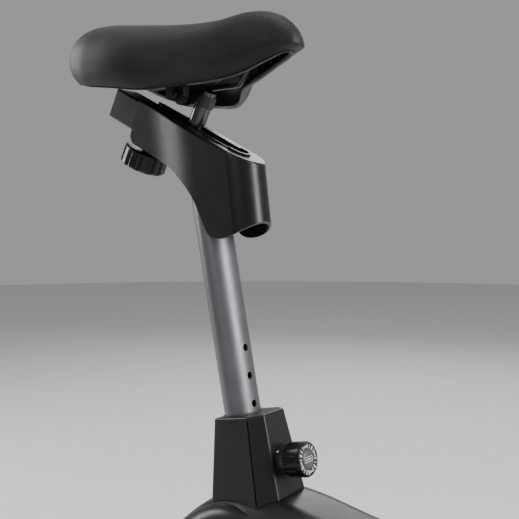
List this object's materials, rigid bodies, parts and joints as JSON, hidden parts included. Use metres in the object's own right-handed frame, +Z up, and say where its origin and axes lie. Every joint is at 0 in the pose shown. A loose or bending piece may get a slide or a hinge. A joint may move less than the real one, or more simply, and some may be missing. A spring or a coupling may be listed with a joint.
{
  "type": "exercise bike",
  "caption": "Upright stationary exercise bike with a padded saddle sliding on a pin-locked seat post, a closed belt-drive casing, pedals, a tilting handlebar and a console.",
  "frame": {"origin": "on the floor under the middle of the bike's length and width", "axes": "+X forwards, the way the rider faces; +Y the rider's left; +Z up"},
  "size_m": [1.09, 0.536, 1.3597],
  "materials": {
    "frame_paint": "satin",
    "bolt_steel": "satin",
    "cap_plastic": "matte",
    "foot_rubber": "matte",
    "wheel_plastic": "matte",
    "liner_plastic": "matte",
    "plug_plastic": "matte",
    "pulley_plastic": "matte",
    "belt_rubber": "matte",
    "flywheel_iron": "machined rim",
    "motor_plastic": "matte",
    "crank_paint": "gloss",
    "pedal_plastic": "matte",
    "casing_plastic": "satin",
    "spine_plastic": "satin",
    "holder_plastic": "satin",
    "inlet_plastic": "gloss",
    "collar_plastic": "satin",
    "knob_plastic": "satin",
    "dial_print": "satin, pale marks on a dark face",
    "post_paint": "silver-grey satin",
    "slide_paint": "satin",
    "hood_plastic": "satin",
    "pillar_chrome": "polished",
    "clamp_steel": "blackened",
    "rail_paint": "gloss",
    "saddle_skin": "soft matte synthetic leather",
    "pan_plastic": "moulded",
    "grip_foam": "foam",
    "console_plastic": "satin",
    "screen_plastic": "gloss",
    "board_laminate": "matte",
    "button_grey": "satin",
    "button_red": "satin",
    "button_green": "satin"
  },
  "bodies": {
    "frame": {"base_beam": "frame_paint", "front_stabiliser": "frame_paint", "rear_stabiliser": "frame_paint", "stabiliser_end_caps": "cap_plastic", "frame_bolts": "bolt_steel", "seat_tube": "frame_paint", "seat_tube_liner": "liner_plastic", "bottom_bracket": "frame_paint", "crank_bearings": "bolt_steel", "drive_belt": "belt_rubber", "flywheel_bracket": "frame_paint", "brake_motor": "motor_plastic", "casing_left": "casing_plastic", "casing_right": "casing_plastic", "power_inlet": "inlet_plastic", "post_collar": "collar_plastic", "pin_housing": "frame_paint", "mast": "frame_paint", "mast_boot": "spine_plastic", "bottle_holder": "holder_plastic", "bar_clamp": "cap_plastic", "console_case": "console_plastic", "console_screen": "screen_plastic", "console_board": "board_laminate"},
    "seat_post": {"seat_post": "post_paint", "slide_guide": "slide_paint", "slide_hood": "hood_plastic"},
    "lock_pin": {"lock_pin": "bolt_steel"},
    "lock_knob": {"lock_knob": "knob_plastic", "lock_dial": "dial_print"},
    "carriage": {"slide_tube": "slide_paint", "slide_plug": "plug_plastic", "saddle_pillar": "pillar_chrome", "saddle_clamp": "clamp_steel"},
    "slide_knob": {"slide_knob": "knob_plastic"},
    "saddle": {"saddle_cover": "saddle_skin", "saddle_pan": "pan_plastic", "saddle_rails": "rail_paint", "rail_clamps": "clamp_steel"},
    "crank": {"crank_axle": "bolt_steel", "crank_pulley": "pulley_plastic", "crank_arms": "crank_paint", "pedal_spindles": "bolt_steel"},
    "pedal_left": {"pedal_left": "pedal_plastic"},
    "pedal_right": {"pedal_right": "pedal_plastic"},
    "flywheel": {"flywheel": "flywheel_iron", "flywheel_shaft": "bolt_steel"},
    "brake_arm": {"brake_arm": "frame_paint"},
    "transport_wheel_left": {"transport_wheel_left": "wheel_plastic"},
    "transport_wheel_right": {"transport_wheel_right": "wheel_plastic"},
    "levelling_foot_left": {"levelling_foot_left": "foot_rubber"},
    "levelling_foot_right": {"levelling_foot_right": "foot_rubber"},
    "handlebar": {"handlebar": "frame_paint", "hand_grips": "grip_foam"},
    "bar_knob": {"bar_knob": "knob_plastic"},
    "button_down": {"button_down": "button_grey"},
    "button_stop": {"button_stop": "button_red"},
    "button_start": {"button_start": "button_green"},
    "button_up": {"button_up": "button_grey"}
  },
  "joints": [
    {"name": "seat_post_slide", "type": "slide", "parent": "frame", "child": "seat_post", "axis": [-0.1942, 0, 0.981], "range_m": [-0.14, 0.07]},
    {"name": "lock_pin_slide", "type": "slide", "parent": "frame", "child": "lock_pin", "axis": [0.981, 0, 0.1942], "range_m": [-0.007, 0]},
    {"name": "lock_knob_turn", "type": "hinge", "parent": "lock_pin", "child": "lock_knob", "pos_m": [-0.17821, 0, 0.46046], "axis": [0.981, 0, 0.1942], "continuous": true},
    {"name": "saddle_slide", "type": "slide", "parent": "seat_post", "child": "carriage", "axis": [0.891, 0, -0.454], "range_m": [-0.06, 0.045]},
    {"name": "slide_knob_turn", "type": "hinge", "parent": "seat_post", "child": "slide_knob", "pos_m": [-0.3579, 0, 0.8459], "axis": [0.454, 0, 0.891], "range_deg": [0, 360]},
    {"name": "saddle_tilt", "type": "hinge", "parent": "carriage", "child": "saddle", "pos_m": [-0.278, 0, 0.921], "axis": [0, 1, 0], "range_deg": [-5, 5]},
    {"name": "flywheel_spin", "type": "hinge", "parent": "frame", "child": "flywheel", "pos_m": [0.152, 0, 0.207], "axis": [0, 1, 0], "continuous": true},
    {"name": "crank_spin", "type": "hinge", "parent": "frame", "child": "crank", "pos_m": [-0.02, 0, 0.29], "axis": [0, 1, 0], "continuous": true},
    {"name": "pedal_left_turn", "type": "hinge", "parent": "crank", "child": "pedal_left", "pos_m": [0.15, 0.151, 0.29], "axis": [0, 1, 0], "continuous": true},
    {"name": "pedal_right_turn", "type": "hinge", "parent": "crank", "child": "pedal_right", "pos_m": [-0.19, -0.151, 0.29], "axis": [0, 1, 0], "continuous": true},
    {"name": "brake_arm_swing", "type": "hinge", "parent": "frame", "child": "brake_arm", "pos_m": [0.066, 0, 0.33], "axis": [0, 1, 0], "range_deg": [0, 2]},
    {"name": "transport_wheel_left_roll", "type": "hinge", "parent": "frame", "child": "transport_wheel_left", "pos_m": [0.515, 0.256, 0.036], "axis": [0, 1, 0], "continuous": true},
    {"name": "transport_wheel_right_roll", "type": "hinge", "parent": "frame", "child": "transport_wheel_right", "pos_m": [0.515, -0.256, 0.036], "axis": [0, 1, 0], "continuous": true},
    {"name": "levelling_foot_left_turn", "type": "hinge", "parent": "frame", "child": "levelling_foot_left", "pos_m": [-0.515, 0.253, 0], "axis": [0, 0, 1], "range_deg": [0, 360]},
    {"name": "levelling_foot_right_turn", "type": "hinge", "parent": "frame", "child": "levelling_foot_right", "pos_m": [-0.515, -0.253, 0], "axis": [0, 0, 1], "range_deg": [0, 360]},
    {"name": "handlebar_tilt", "type": "hinge", "parent": "frame", "child": "handlebar", "pos_m": [0.358, 0, 1.128], "axis": [0, 1, 0], "range_deg": [-18, 18]},
    {"name": "bar_knob_turn", "type": "hinge", "parent": "frame", "child": "bar_knob", "pos_m": [0.398, 0, 1.084], "axis": [0, 0, 1], "range_deg": [0, 360]},
    {"name": "button_down_press", "type": "slide", "parent": "frame", "child": "button_down", "axis": [0.8191, 0, -0.5736], "range_m": [0, 0.0012], "stiffness_N_per_m": 400, "springref_m": -0.0005},
    {"name": "button_stop_press", "type": "slide", "parent": "frame", "child": "button_stop", "axis": [0.8191, 0, -0.5736], "range_m": [0, 0.0012], "stiffness_N_per_m": 400, "springref_m": -0.0005},
    {"name": "button_start_press", "type": "slide", "parent": "frame", "child": "button_start", "axis": [0.8191, 0, -0.5736], "range_m": [0, 0.0012], "stiffness_N_per_m": 400, "springref_m": -0.0005},
    {"name": "button_up_press", "type": "slide", "parent": "frame", "child": "button_up", "axis": [0.8191, 0, -0.5736], "range_m": [0, 0.0012], "stiffness_N_per_m": 400, "springref_m": -0.0005}
  ],
  "couplings": [
    {"joint": "crank_spin", "follows": "flywheel_spin", "ratio": 0.2}
  ]
}
